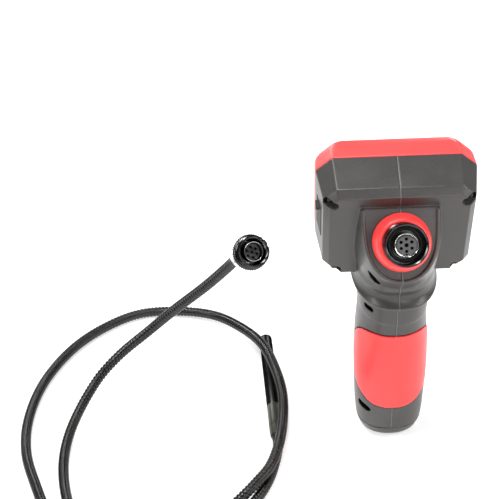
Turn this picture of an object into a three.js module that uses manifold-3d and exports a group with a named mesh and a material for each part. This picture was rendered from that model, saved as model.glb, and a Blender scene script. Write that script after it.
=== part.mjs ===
// Handheld inspection camera: a pistol-shaped handset with a tilted screen head, standing on the base of
// its handle, and a detachable gooseneck cable with a screw plug on one end and the imager on the other.
// Millimetres, +Z up. The origin is the middle of the handle's flat base, +X is the handset's right as
// seen from the connector side, -Y is the side the connector faces and +Y the side the screen faces.
import * as THREE from 'three';
import { mergeVertices } from 'three/addons/utils/BufferGeometryUtils.js';
import Module from 'manifold-3d';

const wasm = await Module();
wasm.setup();

// ---------------------------------------------------------------- driving dimensions

const GAP = 0.3;                // clearance between pieces that touch
const WALL = 2.4;               // thickness of the housing shells
const FAR = 300;                // larger than the whole handset, for cutting boxes

const HEAD_TILT = 14;           // degrees that the head leans towards the connector side
const HEAD_CENTRE = [0, 4.5, 185.2];   // middle of the seam between the housings and the bumper
const HEAD_SKIN = [             // octagons of the dark head, from its back face to the seam
  { y: -30, halfX: 43.3, halfZ: 35, cutTop: 5.2, cutBottom: 8 },
  { y: -25, halfX: 47.3, halfZ: 39, cutTop: 8.4, cutBottom: 11.5 },
  { y: 0, halfX: 50.8, halfZ: 41, cutTop: 10.4, cutBottom: 13.5 },
];
const BUMPER_SKIN = [           // octagons of the soft bumper, from the seam to the screen face
  { y: 0.3, halfX: 50.8, halfZ: 41, cutTop: 10.4, cutBottom: 13.5 },
  { y: 10.5, halfX: 50.8, halfZ: 41, cutTop: 12, cutBottom: 14 },
  { y: 16, halfX: 49.4, halfZ: 39.7, cutTop: 12.4, cutBottom: 13.8 },
  { y: 19, halfX: 46, halfZ: 36.4, cutTop: 11.4, cutBottom: 12 },
];
const FRAME_HALF_X = 42.9;      // black screen frame inside the bumper
const FRAME_HALF_Z = 33.4;
const FRAME_CUT = 8;
const FRAME_FRONT = 17;         // screen side of the frame, measured from the seam
const DISPLAY = { width: 69, height: 52, centreZ: 4.8 };   // 3 inch module, above the button row
const VIEW = { width: 62, height: 46.5 };                  // the part of it that shows
const BUTTON_Z = -27;           // height of the button row on the frame
const BUTTON_STEP = 14.5;

const HEAD_SCREWS = [[-42.2, 30.2], [42.2, 30.2], [-39.4, -33.4], [39.4, -33.4]];   // x and height
const SCREW_SHANK = 1.4;
const SCREW_HEAD = 2.7;

const PORT_TILT = 32;           // degrees that the connector axis rises above the horizontal
const BOSS_TOP = [0, -33.8, 204];   // top edge of the slanted face that carries the connector
const PORT_DROP = 20.2;         // from that edge down the face to the connector axis

const HANDLE_SKIN = [
  { z: 0, front: 17, back: 19, half: 17.8, power: 2.25 },
  { z: 1.6, front: 19.8, back: 21.4, half: 20.2, power: 2.25 },
  { z: 5, front: 21.9, back: 23.2, half: 21.7, power: 2.25 },
  { z: 9.8, front: 23.2, back: 24.1, half: 22.9, power: 2.4 },
  { z: 22, front: 25.3, back: 25, half: 23.9, power: 2.4 },
  { z: 40, front: 28, back: 25.8, half: 24.6, power: 2.4 },
  { z: 62, front: 31, back: 26.2, half: 24.9, power: 2.4 },
  { z: 84, front: 33, back: 26.2, half: 24.5, power: 2.4 },
  { z: 100, front: 34, back: 26, half: 23.4, power: 2.4 },
  { z: 113, front: 35.2, back: 26, half: 22.8, power: 2.4 },
  { z: 115.5, front: 37.6, back: 26.2, half: 23.5, power: 2.4 },
  { z: 130, front: 38.6, back: 26.6, half: 23.8, power: 2.4 },
  { z: 134, front: 39.6, back: 26.8, half: 24, power: 2.4 },
  { z: 135, front: 45.5, back: 27, half: 26.6, power: 2.4 },
  { z: 135.8, front: 48.2, back: 27.2, half: 28.2, power: 2.4 },
  { z: 137.2, front: 48.4, back: 27.2, half: 28.4, power: 2.4 },
  { z: 138.4, front: 46.8, back: 27.2, half: 27.6, power: 2.4 },
  { z: 141, front: 44.6, back: 27.2, half: 26.9, power: 2.4 },
  { z: 144.5, front: 44, back: 27.4, half: 26.7, power: 2.4 },
  { z: 147.2, front: 45.2, back: 27.4, half: 27, power: 2.4 },
  { z: 149, front: 46.4, back: 27.5, half: 27.1, power: 2.35 },
  { z: 153, front: 47.8, back: 27.6, half: 27.1, power: 2.25 },
  { z: 160, front: 53.2, back: 27.8, half: 28.2, power: 2.2 },
  { z: 166, front: 58.6, back: 28, half: 28.6, power: 2.2 },
  { z: 174.3, front: 63.8, back: 28, half: 28.4, power: 2.3 },
  { z: 184, front: 70, back: 28, half: 28, power: 2.3 },
  { z: 194, front: 72, back: 26, half: 27, power: 2.35 },
  { z: BOSS_TOP[2], front: 72, back: 22, half: 26, power: 2.4 },
];
const HANDLE_SIDES = 32;
const CAP_TOP = 9.8;            // seam between the base cap and the housings

const RIM_WIDTH = 2;            // raised rim around the slanted face
const RIM_DEPTH = 1.4;
const SOCKET_RADIUS = 13.2;
const SOCKET_LENGTH = 30;
const COLLAR_RADIUS = 18.3;
const COLLAR_HEIGHT = 13.2;

const GRIP = { thick: 2, proud: 0.35, top: 102.4, bottom: 40, cornerY: 19, backY: 1 };

const CELL = { radius: 7.25, length: 50.5, x: 7.7, y: 10.3, bottom: 14.6 };   // AA cells, two by two
const CRADLE = { halfX: 16.4, frontY: 1.6, backY: 18.4, bottom: 12.4, top: 119.5, wall: 1.2 };
const DOOR = { halfX: 15.2, bottom: 21, top: 117.5, innerY: 14, thick: 2.2 };
const LATCH = { halfX: 5, bottom: 107, top: 112, thick: 1.1 };

const PORT_COVER = { low: [-20, -9], high: [-6, 15], thick: 1.6 };   // depth and height in the head

const HANDLE_SCREWS = [         // y and z of the screws that pull the two housings together
  { y: -43.8, z: 160, seatX: -12 },
  { y: -27.3, z: 123.2, seatX: -13 },
  { y: -17.5, z: 28, seatX: -13 },
];

const CORD_RADIUS = 4;
const FLOOR_Z = 4.2;            // height of the gooseneck's middle where it lies down
const PLUG_FACE = [-90.8, -47.1, 186];   // front of the plug's thread
const PLUG_AXIS = [0.26, -0.74, 0.62];
const PLUG_LENGTH = 36;
const NUT_TEETH = 24;
const IMAGER_TIP = [-86.5, 85.5, 5];
const IMAGER_REAR = [-80.5, -22.5, 5];
const IMAGER_RADIUS = 4.85;
const SLEEVE_LENGTH = 31;

// The gooseneck's free route, from behind the plug to behind the imager. It stands up by its own
// stiffness behind the plug, and passes over itself and over the imager in low humps.
const ROUTE = [
  [-102, -15.3, 159.4], [-106, -5.5, 147], [-124.5, 12, 116], [-151.5, 31, 79], [-170, 37.5, 57],
  [-194.5, 35, 35.5], [-210.5, 22.5, 23.5], [-228, -14.5, 9], [-229.5, -52.5, 4.6],
  [-215, -99.5, FLOOR_Z], [-197.5, -115.5, FLOOR_Z], [-174, -122.5, FLOOR_Z], [-151, -118, FLOOR_Z],
  [-130, -105.5, FLOOR_Z],
  [-114.2, -90.5, 5.6], [-103.4, -81, 9.1], [-95, -72.5, 12], [-86.5, -61, 13.4], [-79.5, -40, 13.7],
  [-76, -16.5, 14.4], [-75.5, 11.5, 14.8], [-80, 37.5, 16.3], [-89, 65.5, 16], [-105.5, 94, 10.4],
  [-127, 115.5, 6], [-155, 124.5, FLOOR_Z], [-186, 123, FLOOR_Z], [-211, 109, FLOOR_Z],
  [-235, 84, FLOOR_Z], [-254, 45, FLOOR_Z], [-261, 4, FLOOR_Z], [-258.5, -28.5, FLOOR_Z],
  [-249.5, -57, FLOOR_Z], [-225, -110.5, FLOOR_Z], [-200, -132.5, FLOOR_Z], [-165, -138.5, FLOOR_Z],
  [-124.5, -119, FLOOR_Z], [-96, -81.5, FLOOR_Z], [-86, -60, FLOOR_Z], [-80, -32, 4.9],
];
const CORD_STEPS = 78;
const CORD_SIDES = 8;

// ---------------------------------------------------------------- materials

function finish(color, roughness, metalness = 0) {
  return new THREE.MeshStandardMaterial({ color, roughness, metalness });
}
const DARK = finish(0x56534f, 0.55);
const RED = finish(0xee4b48, 0.6);
const BLACK = finish(0x141414, 0.4);
const RUBBER = finish(0x222222, 0.8);
const STEEL = finish(0xc9c9c9, 0.25, 1);
const BRASS = finish(0xc8a860, 0.3, 1);
const GREY = finish(0x77777a, 0.6);
const GREEN = finish(0x1f5a35, 0.6);
const GLASS = finish(0x0a0c10, 0.1);
const CORD = finish(0x1b1b1c, 0.45);
const OLIVE = finish(0x33352c, 0.6);

// ---------------------------------------------------------------- helpers

const object = new THREE.Group();

function add(name, geometry, material, parent = object) {
  const mesh = new THREE.Mesh(geometry, material);
  mesh.name = name;
  parent.add(mesh);
  return mesh;
}

// A closed geometry as a solid for joining and cutting.
function solid(geometry, matrix) {
  const bare = geometry.clone();
  bare.deleteAttribute('normal');
  bare.deleteAttribute('uv');
  if (matrix) bare.applyMatrix4(matrix);
  const merged = mergeVertices(bare, 1e-4);
  return new wasm.Manifold(new wasm.Mesh({
    numProp: 3,
    vertProperties: new Float32Array(merged.attributes.position.array),
    triVerts: new Uint32Array(merged.index.array),
  }));
}

function geometryOf(manifold) {
  const result = manifold.getMesh();
  const geometry = new THREE.BufferGeometry();
  geometry.setAttribute('position', new THREE.BufferAttribute(new Float32Array(result.vertProperties), 3));
  geometry.setIndex(new THREE.BufferAttribute(new Uint32Array(result.triVerts), 1));
  return geometry;
}

// A closed skin through rings of points, with a flat fan over each end. Rings run anticlockwise when
// seen from the far end.
function loft(rings) {
  const sides = rings[0].length;
  const last = (rings.length - 1) * sides;
  const index = [];
  for (let k = 1; k < sides - 1; k += 1) {
    index.push(0, k + 1, k, last, last + k, last + k + 1);
  }
  for (let ring = 0; ring < rings.length - 1; ring += 1) {
    for (let k = 0; k < sides; k += 1) {
      const a = ring * sides + k;
      const b = ring * sides + (k + 1) % sides;
      index.push(a, b, b + sides, a, b + sides, a + sides);
    }
  }
  const geometry = new THREE.BufferGeometry();
  geometry.setAttribute('position', new THREE.Float32BufferAttribute(rings.flat(2), 3));
  geometry.setIndex(index);
  return geometry;
}

// A box between two corners.
function block(low, high) {
  const size = high.map((value, axis) => value - low[axis]);
  const geometry = new THREE.BoxGeometry(...size);
  return geometry.translate(low[0] + size[0] / 2, low[1] + size[1] / 2, low[2] + size[2] / 2);
}

// A turned piece about the Z axis, from a profile of radius and height.
function turned(profile, sides = 24) {
  const points = profile.map(([radius, height]) => new THREE.Vector2(radius, height));
  return new THREE.LatheGeometry(points, sides).rotateX(Math.PI / 2);
}

// A closed ring of rectangular section about the Z axis.
function sleeve(inner, outer, bottom, top, sides = 24) {
  return turned([[inner, bottom], [outer, bottom], [outer, top], [inner, top], [inner, bottom]], sides);
}

// A plain rod about the Z axis, or about X or Y when turned by the caller.
function rod(radius, bottom, top, sides = 20) {
  return turned([[0, bottom], [radius, bottom], [radius, top], [0, top]], sides);
}

// A closed outline of evenly spaced points, whose radius may change from point to point.
function polygon(count, radiusAt) {
  return new THREE.Shape(Array.from({ length: count }, (_, k) => {
    const angle = (2 * Math.PI * k) / count;
    return new THREE.Vector2(radiusAt(k) * Math.cos(angle), radiusAt(k) * Math.sin(angle));
  }));
}

// ---------------------------------------------------------------- frames of the head and the connector

const headFrame = new THREE.Group();
headFrame.position.set(...HEAD_CENTRE);
headFrame.rotation.x = THREE.MathUtils.degToRad(HEAD_TILT);
object.add(headFrame);
headFrame.updateMatrixWorld(true);

const portAngle = THREE.MathUtils.degToRad(PORT_TILT);
const portFrame = new THREE.Group();
portFrame.position.set(
  0,
  BOSS_TOP[1] - PORT_DROP * Math.sin(portAngle),
  BOSS_TOP[2] - PORT_DROP * Math.cos(portAngle),
);
portFrame.rotation.x = Math.PI / 2 - portAngle;
object.add(portFrame);
portFrame.updateMatrixWorld(true);

const inHead = headFrame.matrixWorld;
const inPort = portFrame.matrixWorld;

// ---------------------------------------------------------------- outer skins

function octagon({ y, halfX, halfZ, cutTop, cutBottom }, inset = 0) {
  const x = halfX - inset;
  const z = halfZ - inset;
  const top = cutTop - inset * 0.586;
  const bottom = cutBottom - inset * 0.586;
  return [
    [x, y, -z + bottom], [x, y, z - top], [x - top, y, z], [-x + top, y, z],
    [-x, y, z - top], [-x, y, -z + bottom], [-x + bottom, y, -z], [x - bottom, y, -z],
  ].reverse();
}

function headSkin(inset = 0) {
  const stations = HEAD_SKIN.map((station) => octagon(station, inset));
  if (inset > 0) {
    stations[0] = stations[0].map(([x, y, z]) => [x, y + inset, z]);
    const rear = HEAD_SKIN.at(-1);
    stations.push(octagon({ ...rear, y: rear.y + 1 }, inset));
  }
  return loft(stations);
}

function handleRing({ z, front, back, half, power }, inset = 0) {
  const ring = [];
  for (let k = 0; k < HANDLE_SIDES; k += 1) {
    const angle = (2 * Math.PI * (k + 0.5)) / HANDLE_SIDES;
    const c = Math.cos(angle);
    const s = Math.sin(angle);
    const depth = s < 0 ? front - inset : back - inset;
    ring.push([
      (half - inset) * Math.sign(c) * Math.abs(c) ** (2 / power),
      depth * Math.sign(s) * Math.abs(s) ** (2 / power),
      z,
    ]);
  }
  return ring;
}

function handleSkin(inset = 0) {
  return loft(HANDLE_SKIN.map((ring) => handleRing(ring, inset)));
}

// Everything in front of the slanted connector face, moved out along its axis by an offset.
function inFrontOfPort(offset) {
  return solid(block([-FAR, -FAR, offset], [FAR, FAR, FAR]), inPort);
}

const outerHandle = solid(handleSkin()).subtract(inFrontOfPort(0));
const outerHead = solid(headSkin(), inHead);

// ---------------------------------------------------------------- handset housings

// The grip's edge as seen from the side: nearly level at the top of the front, with its corners turned
// back towards the middle of the handle, and a lower edge that rises all the way from the front.
function gripOutline(grow = 0) {
  const { top, bottom, cornerY } = GRIP;
  const back = GRIP.backY + grow;
  const shape = new THREE.Shape();
  shape.moveTo(-60, top + 2 + grow);
  shape.lineTo(-31, top + grow);
  shape.bezierCurveTo(-cornerY, top - 1 + grow, back, top - 16, back, top - 32);
  shape.lineTo(back, bottom + 26);
  shape.bezierCurveTo(back, bottom + 14, -8, bottom + 5 - grow, -cornerY, bottom - grow);
  shape.lineTo(-31, bottom - 11 - grow);
  shape.lineTo(-60, bottom - 36 - grow);
  return shape;
}

// The space in front of the handle that the grip's outline covers, right across.
function gripSpace(grow = 0) {
  const prism = new THREE.ExtrudeGeometry(gripOutline(grow), {
    depth: 80, bevelEnabled: false, curveSegments: 7,
  });
  const toSide = new THREE.Matrix4().makeBasis(
    new THREE.Vector3(0, 1, 0), new THREE.Vector3(0, 0, 1), new THREE.Vector3(1, 0, 0),
  );
  return solid(prism.applyMatrix4(toSide).translate(-40, 0, 0));
}

function doorSpace(grow = 0) {
  return solid(block(
    [-DOOR.halfX - grow, DOOR.innerY, DOOR.bottom - grow],
    [DOOR.halfX + grow, 40, DOOR.top + grow],
  ));
}

function portCoverSpace(grow = 0) {
  return solid(block(
    [-60, PORT_COVER.low[0] - grow, PORT_COVER.low[1] - grow],
    [-40, PORT_COVER.high[0] + grow, PORT_COVER.high[1] + grow],
  ), inHead);
}

function alongHeadDepth(geometry, [x, z]) {
  return geometry.rotateX(-Math.PI / 2).translate(x, 0, z);
}

function acrossHandle(geometry, { y, z }) {
  return geometry.rotateY(Math.PI / 2).translate(0, y, z);
}

function housings() {
  const columns = HEAD_SCREWS.map((place) => solid(alongHeadDepth(rod(4.4, -28, 2, 12), place), inHead));
  const posts = HANDLE_SCREWS.map((screw) => solid(acrossHandle(rod(4.2, -30, 30, 12), screw)));
  let hollow = solid(headSkin(WALL), inHead);
  columns.forEach((column) => { hollow = hollow.subtract(column); });
  let bore = solid(handleSkin(WALL)).subtract(inFrontOfPort(-3));
  posts.forEach((post) => { bore = bore.subtract(post); });

  let shell = outerHandle.add(outerHead).subtract(hollow).subtract(bore);
  shell = shell.subtract(solid(block([-FAR, -FAR, -10], [FAR, FAR, CAP_TOP + GAP])));
  shell = shell.subtract(solid(block([-60, 0, -60], [60, 60, 60]), inHead));

  const rimInside = solid(handleSkin(RIM_WIDTH)).intersect(inFrontOfPort(-RIM_DEPTH));
  shell = shell.subtract(rimInside);
  shell = shell.subtract(solid(rod(12.6, -20, 5), inPort));

  HEAD_SCREWS.forEach((place) => {
    shell = shell.subtract(solid(alongHeadDepth(rod(4.1, -60, -24, 12), place), inHead));
    shell = shell.subtract(solid(alongHeadDepth(rod(SCREW_SHANK + GAP, -40, 10, 12), place), inHead));
  });
  HANDLE_SCREWS.forEach((screw) => {
    shell = shell.subtract(solid(acrossHandle(rod(3.2, -60, screw.seatX, 16), screw)));
    shell = shell.subtract(solid(acrossHandle(rod(SCREW_SHANK + GAP, screw.seatX - 5, 12, 12), screw)));
  });

  const gripInner = solid(handleSkin(GRIP.thick - GRIP.proud + GAP));
  shell = shell.subtract(gripSpace(GAP).subtract(gripInner));
  shell = shell.subtract(doorSpace(GAP));
  shell = shell.subtract(portCoverSpace(GAP).subtract(solid(headSkin(PORT_COVER.thick + GAP), inHead)));
  shell = shell.subtract(solid(block([-60, -17, -5.5], [-44, -9, 11.5]), inHead));

  const left = shell.intersect(solid(block([-FAR, -FAR, -FAR], [-GAP / 2, FAR, FAR])));
  const right = shell.intersect(solid(block([GAP / 2, -FAR, -FAR], [FAR, FAR, FAR])));
  add('left_housing', geometryOf(left), DARK);
  add('right_housing', geometryOf(right), DARK);
}

function baseCap() {
  const shell = outerHandle
    .intersect(solid(block([-FAR, -FAR, -1], [FAR, FAR, CAP_TOP])))
    .subtract(solid(loft([
      handleRing({ ...HANDLE_SKIN[1], z: 3 }, WALL),
      handleRing({ ...HANDLE_SKIN[3], z: 12 }, WALL),
    ])));
  add('base_cap', geometryOf(shell), DARK);
}

function gripOvermould() {
  const skin = solid(handleSkin(-GRIP.proud)).subtract(solid(handleSkin(GRIP.thick - GRIP.proud)));
  add('grip_overmould', geometryOf(skin.intersect(gripSpace())), RED);
}

// ---------------------------------------------------------------- battery compartment

function batteryDoor() {
  const skin = outerHandle.subtract(solid(handleSkin(DOOR.thick))).intersect(doorSpace());
  const seat = solid(block(
    [-LATCH.halfX - GAP, 10, LATCH.bottom - 2.8],
    [LATCH.halfX + GAP, 40, LATCH.top + GAP],
  )).subtract(solid(handleSkin(LATCH.thick)));
  add('battery_door', geometryOf(skin.subtract(seat)), DARK);
  const latch = solid(handleSkin(-0.5)).subtract(solid(handleSkin(LATCH.thick - GAP))).intersect(
    solid(block([-LATCH.halfX, 10, LATCH.bottom], [LATCH.halfX, 40, LATCH.top])),
  );
  add('battery_latch', geometryOf(latch), RUBBER);
}

function batteryCradle() {
  const { halfX, frontY, backY, bottom, top, wall } = CRADLE;
  let tray = solid(block([-halfX, frontY, bottom], [halfX, backY - 3, top]));
  tray = tray.subtract(solid(block(
    [-halfX + wall, frontY + wall, bottom + wall],
    [halfX - wall, backY + 5, top - wall],
  )));
  add('battery_cradle', geometryOf(tray), BLACK);
}

function cells() {
  const { radius, length, x, y, bottom } = CELL;
  [[-x, 0], [x, 0], [-x, 1], [x, 1]].forEach(([cellX, row], index) => {
    const cell = turned([
      [0, 0], [radius, 0], [radius, length - 1.3], [2.75, length - 1.3], [2.75, length], [0, length],
    ], 16);
    add(`battery_cell_${index + 1}`, cell.translate(cellX, y, bottom + row * (length + GAP)), BRASS);
  });
}

function contacts() {
  const { x, y, bottom } = CELL;
  const low = CRADLE.bottom + CRADLE.wall + GAP;
  const high = CRADLE.top - CRADLE.wall - GAP;
  const plate = block([-x - 6, y - 5, high - 0.6], [x + 6, y + 5, high]);
  add('contact_bridge', plate, STEEL);
  [-x, x].forEach((contactX, index) => {
    const spring = turned([
      [0, low], [5, low], [3, bottom - GAP], [0, bottom - GAP],
    ], 16);
    add(`contact_spring_${index + 1}`, spring.translate(contactX, y, 0), STEEL);
  });
}

// ---------------------------------------------------------------- screen end of the head

function bumper() {
  let ring = solid(loft(BUMPER_SKIN.map((station) => octagon(station))));
  const opening = [-1, 30].map((y) => octagon({
    y, halfX: FRAME_HALF_X, halfZ: FRAME_HALF_Z, cutTop: FRAME_CUT, cutBottom: FRAME_CUT,
  }));
  ring = ring.subtract(solid(loft(opening)));
  HEAD_SCREWS.forEach((place) => {
    ring = ring.subtract(solid(alongHeadDepth(rod(SCREW_SHANK + GAP, -2, 7.5, 12), place)));
  });
  add('screen_bumper', geometryOf(ring), RED, headFrame);
}

function buttonPlaces() {
  return ['power', 'menu', 'capture', 'zoom', 'light'].map((name, index) => (
    { name, x: (index - 2) * BUTTON_STEP }
  ));
}

function buttonShape(grow, bottom, top) {
  const half = 4.6 + grow;
  const radius = 2.4 + grow;
  const shape = new THREE.Shape();
  shape.absarc(half - radius, 0, radius, -Math.PI / 2, Math.PI / 2);
  shape.absarc(-half + radius, 0, radius, Math.PI / 2, 1.5 * Math.PI);
  const geometry = new THREE.ExtrudeGeometry(shape, {
    depth: top - bottom, bevelEnabled: false, curveSegments: 6,
  });
  return geometry.rotateX(Math.PI / 2).translate(0, top, 0);
}

function screenFrame() {
  const inset = { halfX: FRAME_HALF_X - GAP, halfZ: FRAME_HALF_Z - GAP, cutTop: FRAME_CUT, cutBottom: FRAME_CUT };
  let frame = solid(loft([octagon({ y: 0.4, ...inset }), octagon({ y: FRAME_FRONT, ...inset })]));
  const behind = { halfX: 40, halfZ: 31.4, cutTop: 4, cutBottom: 4 };
  frame = frame.subtract(solid(loft([octagon({ y: -1, ...behind }), octagon({ y: FRAME_FRONT - 3, ...behind })])));
  const view = (halfX, halfZ, low, high) => solid(block(
    [-halfX, low, DISPLAY.centreZ - halfZ],
    [halfX, high, DISPLAY.centreZ + halfZ],
  ));
  frame = frame.subtract(view(VIEW.width / 2, VIEW.height / 2, 5, 30));
  frame = frame.subtract(view(VIEW.width / 2 + 2.3, VIEW.height / 2 + 2.3, FRAME_FRONT - 1.4, 30));
  buttonPlaces().forEach(({ x }) => {
    frame = frame.subtract(solid(buttonShape(GAP, 5, 30).translate(x, 0, BUTTON_Z)));
  });
  add('screen_frame', geometryOf(frame), BLACK, headFrame);
}

function screenStack() {
  const glassX = VIEW.width / 2 + 2;
  const glassZ = VIEW.height / 2 + 2;
  add('screen_window', block(
    [-glassX, FRAME_FRONT - 1.1, DISPLAY.centreZ - glassZ],
    [glassX, FRAME_FRONT - 0.2, DISPLAY.centreZ + glassZ],
  ), GLASS, headFrame);
  add('display_module', block(
    [-DISPLAY.width / 2, FRAME_FRONT - 6.6, DISPLAY.centreZ - DISPLAY.height / 2],
    [DISPLAY.width / 2, FRAME_FRONT - 3.3, DISPLAY.centreZ + DISPLAY.height / 2],
  ), GLASS, headFrame);
  add('keypad_mat', block([-35.5, FRAME_FRONT - 6.6, -30.6], [35.5, FRAME_FRONT - 5.4, -22.4]), RUBBER, headFrame);
  buttonPlaces().forEach(({ name, x }) => {
    add(`${name}_button`, buttonShape(0, FRAME_FRONT - 4.3, FRAME_FRONT + 1.2).translate(x, 0, BUTTON_Z), GREY, headFrame);
  });
}

function boards() {
  add('main_board', block([-37, -6, -25], [37, -4.4, 31]), GREEN, headFrame);
  add('processor_shield', block([-14, -9.4, -10], [14, -6.3, 14]), STEEL, headFrame);
}

function ports() {
  const shell = solid(block([-44.6, -17, -4.6], [-37.5, -9.5, 0.2]));
  const mouth = solid(block([-50, -16.2, -3.9], [-38.3, -10.3, -0.5]));
  add('usb_port', geometryOf(shell.subtract(mouth)), STEEL, headFrame);
  const reader = solid(block([-44.6, -17, 1.4], [-30, -9.5, 12]));
  const slot = solid(block([-50, -13.6, 2.2], [-31, -12.2, 11.2]));
  add('card_reader', geometryOf(reader.subtract(slot)), STEEL, headFrame);
  const skin = solid(headSkin(-0.3), inHead).subtract(solid(headSkin(PORT_COVER.thick), inHead));
  add('port_cover', geometryOf(skin.intersect(portCoverSpace())), RUBBER);
}

// ---------------------------------------------------------------- connector on the handset

function connector() {
  const face = -RIM_DEPTH + GAP;
  const bore = SOCKET_RADIUS - 0.8;
  add('connector_collar', turned([
    [bore, face], [COLLAR_RADIUS, face], [COLLAR_RADIUS, 2.5], [17.2, 7.5], [16.2, 11],
    [15, 12.8], [14.2, COLLAR_HEIGHT], [bore, COLLAR_HEIGHT], [bore, face],
  ], 28), RED, portFrame);
  add('socket_shell', turned([
    [0, -11], [bore - GAP, -11], [bore - GAP, COLLAR_HEIGHT + GAP], [SOCKET_RADIUS, COLLAR_HEIGHT + GAP],
    [SOCKET_RADIUS, SOCKET_LENGTH - 0.6], [SOCKET_RADIUS - 0.6, SOCKET_LENGTH], [12.4, SOCKET_LENGTH],
    [12, SOCKET_LENGTH - 0.6], [12, 18.5], [7.5, 18.5], [7.5, 17], [0, 17],
  ], 28), BLACK, portFrame);
  add('socket_ring', sleeve(6.3, 7.2, 17.3, SOCKET_LENGTH - 1.6), STEEL, portFrame);
  const seal = new THREE.TorusGeometry(9.75, 1.1, 6, 20).translate(0, 0, 18.5 + 1.1 + GAP);
  add('socket_seal', seal, RUBBER, portFrame);

  let insert = solid(rod(6, 17.3, SOCKET_LENGTH - 3));
  const hole = (x, y) => solid(rod(0.85, SOCKET_LENGTH - 8, SOCKET_LENGTH, 10).translate(x, y, 0));
  insert = insert.subtract(hole(0, 0));
  for (let k = 0; k < 6; k += 1) {
    const angle = (Math.PI * (2 * k + 1)) / 6;
    insert = insert.subtract(hole(3.7 * Math.cos(angle), 3.7 * Math.sin(angle)));
  }
  insert = insert.subtract(solid(block([-0.9, -7, SOCKET_LENGTH - 7], [0.9, -5.1, SOCKET_LENGTH])));
  add('socket_insert', geometryOf(insert), GREY, portFrame);
}

// ---------------------------------------------------------------- screws

function screw(length) {
  return turned([
    [0, 0], [SCREW_SHANK, 0], [SCREW_SHANK, length], [SCREW_HEAD, length],
    [SCREW_HEAD, length + 1.2], [1.9, length + 1.9], [0, length + 1.9],
  ], 10);
}

function screws() {
  HEAD_SCREWS.forEach(([x, z], index) => {
    const geometry = screw(31).rotateX(Math.PI / 2).translate(x, 31 - 24 - GAP, z);
    add(`head_screw_${index + 1}`, geometry, STEEL, headFrame);
  });
  HANDLE_SCREWS.forEach((place, index) => {
    const length = 10.5 - place.seatX;
    const geometry = screw(length).rotateY(-Math.PI / 2).translate(place.seatX + length - GAP, place.y, place.z);
    add(`handle_screw_${index + 1}`, geometry, STEEL);
  });
}

// ---------------------------------------------------------------- gooseneck cable

// A group whose +Z runs along an axis from a point.
function frameAlong(point, axis) {
  const frame = new THREE.Group();
  frame.position.set(...point);
  frame.quaternion.setFromUnitVectors(new THREE.Vector3(0, 0, 1), new THREE.Vector3(...axis).normalize());
  object.add(frame);
  return frame;
}

function plug() {
  const frame = frameAlong(PLUG_FACE, PLUG_AXIS);
  const outline = polygon(2 * NUT_TEETH, (k) => (k % 2 ? 11 : 11.4));
  outline.holes.push(new THREE.Path().absarc(0, 0, 7.7, 0, 2 * Math.PI, true));
  const knurled = new THREE.ExtrudeGeometry(outline, { depth: 3, bevelEnabled: false, curveSegments: 10 });
  const rear = turned([[7.7, -16], [9.5, -16], [10.8, -9.8], [7.7, -9.8], [7.7, -16]]);
  const thread = solid(sleeve(7.7, 9.7, -4.2, 0)).add(solid(sleeve(7.7, 10.1, -3.2, -1)));
  const nut = solid(knurled.translate(0, 0, -10)).add(solid(rear)).add(solid(sleeve(7.7, 10.4, -7.2, -4)));
  add('plug_nut', geometryOf(nut.add(thread)), BLACK, frame);
  add('plug_body', turned([
    [0, -24], [8.2, -24], [8.6, -23.4], [8.6, -16.3], [7.4, -16.3], [7.4, -12], [0, -12],
  ]), BLACK, frame);
  add('plug_ring', sleeve(5.4, 6.1, -11.7, -0.8), STEEL, frame);
  let insert = solid(rod(5.1, -11.7, -5));
  for (let k = 0; k < 6; k += 1) {
    const angle = (Math.PI * (2 * k + 1)) / 6;
    insert = insert.add(solid(rod(0.5, -7, -1.6, 8).translate(3.3 * Math.cos(angle), 3.3 * Math.sin(angle), 0)));
  }
  add('plug_insert', geometryOf(insert), BLACK, frame);
  add('plug_ferrule', turned([
    [0, -PLUG_LENGTH], [4.8, -PLUG_LENGTH], [5.2, -PLUG_LENGTH + 1], [5.6, -30.5], [8, -30], [8.6, -29.4],
    [8.6, -25], [8, -24.3], [0, -24.3],
  ]), STEEL, frame);
}

function imager() {
  const axis = IMAGER_TIP.map((value, i) => value - IMAGER_REAR[i]);
  const frame = frameAlong(IMAGER_REAR, axis);
  const length = Math.hypot(...axis);
  const r = IMAGER_RADIUS;
  add('imager_sleeve', turned([
    [0, 0], [4.4, 0], [r, 3], [r, SLEEVE_LENGTH - GAP], [0, SLEEVE_LENGTH - GAP],
  ], 20), OLIVE, frame);
  add('imager_body', turned([
    [0, SLEEVE_LENGTH], [r, SLEEVE_LENGTH], [r, length - 1], [r - 0.6, length], [3.9, length],
    [3.9, length - 3], [0, length - 3],
  ], 24), BLACK, frame);
  add('led_ring', sleeve(2, 3.6, length - 2.7, length - 1.2), GREY, frame);
  add('lens_window', rod(1.7, length - 2.7, length - 0.7), GLASS, frame);
}

function gooseneck() {
  const axis = new THREE.Vector3(...PLUG_AXIS).normalize();
  const start = new THREE.Vector3(...PLUG_FACE).addScaledVector(axis, -PLUG_LENGTH - GAP);
  const along = new THREE.Vector3(...IMAGER_REAR).sub(new THREE.Vector3(...IMAGER_TIP)).normalize();
  const end = new THREE.Vector3(...IMAGER_REAR).addScaledVector(along, GAP);
  const points = ROUTE.map((point) => new THREE.Vector3(...point));
  const curve = new THREE.CatmullRomCurve3([start, ...points, end], false, 'centripetal');
  curve.arcLengthDivisions = 2000;
  add('gooseneck', new THREE.ExtrudeGeometry(polygon(CORD_SIDES, () => CORD_RADIUS), {
    steps: CORD_STEPS, extrudePath: curve, bevelEnabled: false,
  }), CORD);
}

housings();
baseCap();
gripOvermould();
batteryDoor();
batteryCradle();
cells();
contacts();
bumper();
screenFrame();
screenStack();
boards();
ports();
connector();
screws();
plug();
imager();
gooseneck();

export default object;
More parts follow.
